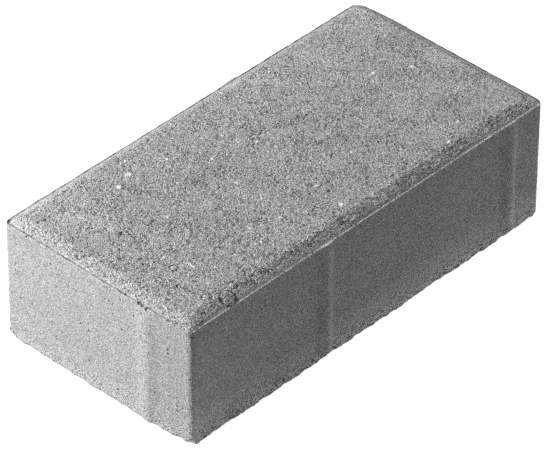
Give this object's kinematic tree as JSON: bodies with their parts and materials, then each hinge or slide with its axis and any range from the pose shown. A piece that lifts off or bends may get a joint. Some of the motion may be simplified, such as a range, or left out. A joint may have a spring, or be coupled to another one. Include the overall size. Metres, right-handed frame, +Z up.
{
  "type": "concrete paving brick",
  "caption": "Rectangular grey concrete paving brick with a bevelled wearing face and shallow spacer nibs up its sides.",
  "frame": {"origin": "centre of the bed face, which rests on the ground", "axes": "+X along the length, +Y along the width, +Z up from the bed to the wearing face"},
  "size_m": [0.2024, 0.101, 0.058],
  "materials": {
    "concrete": "dry pressed grey concrete, coarse sandy wearing face and finer smooth sides"
  },
  "bodies": {
    "root": {"paving_brick": "concrete"}
  },
  "joints": []
}
